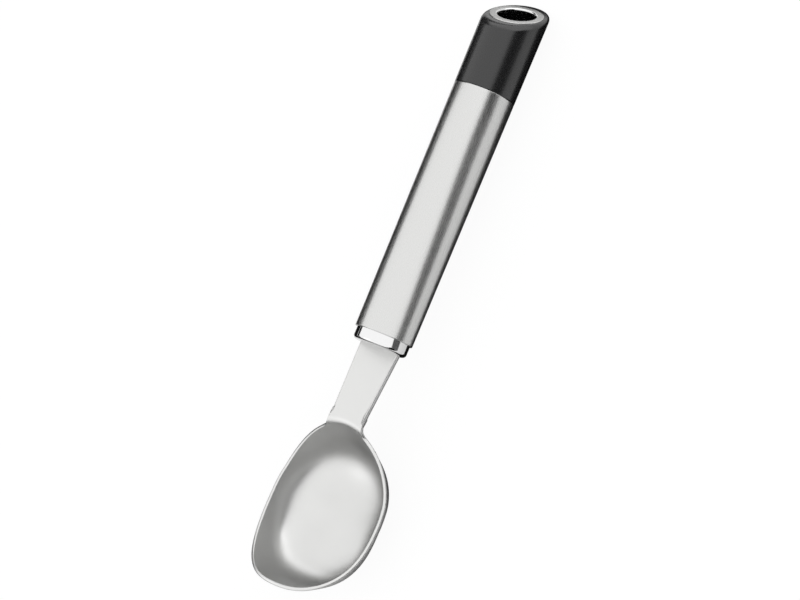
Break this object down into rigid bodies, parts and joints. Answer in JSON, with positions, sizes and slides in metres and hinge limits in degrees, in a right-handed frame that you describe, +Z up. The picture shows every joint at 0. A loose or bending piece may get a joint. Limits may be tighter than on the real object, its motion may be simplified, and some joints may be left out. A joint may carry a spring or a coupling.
{
  "type": "ice cream scoop",
  "caption": "Rigid ice cream scoop: deep oval steel bowl on a flat neck, hollow tapered round handle, black slanted end cap with a hanging eyelet.",
  "frame": {"origin": "on the table under the middle of the tool's length, with the tool lying on the bottom of its bowl and the heel of its cap", "axes": "+X from the bowl along the handle to the cap, +Z up out of the hollow of the bowl, +Y to the left seen from the bowl towards the cap"},
  "size_m": [0.2139, 0.0434, 0.0294],
  "materials": {
    "head_steel": "satin, stamped and tumbled",
    "polished_steel": "turned and polished",
    "seal_rubber": "moulded",
    "tube_steel": "satin, polished lengthways",
    "core_plastic": "moulded",
    "pin_steel": "ground",
    "cap_plastic": "smooth moulded, soft gloss",
    "eyelet_steel": "satin flange with a polished lip"
  },
  "bodies": {
    "root": {"scoop_head": "head_steel", "collar": "polished_steel", "collar_seal": "seal_rubber", "handle_tube": "tube_steel", "core_upper": "core_plastic", "core_lower": "core_plastic", "tang_pin": "pin_steel", "cap_seal": "seal_rubber", "end_cap": "cap_plastic", "hanging_eyelet": "eyelet_steel"}
  },
  "joints": []
}
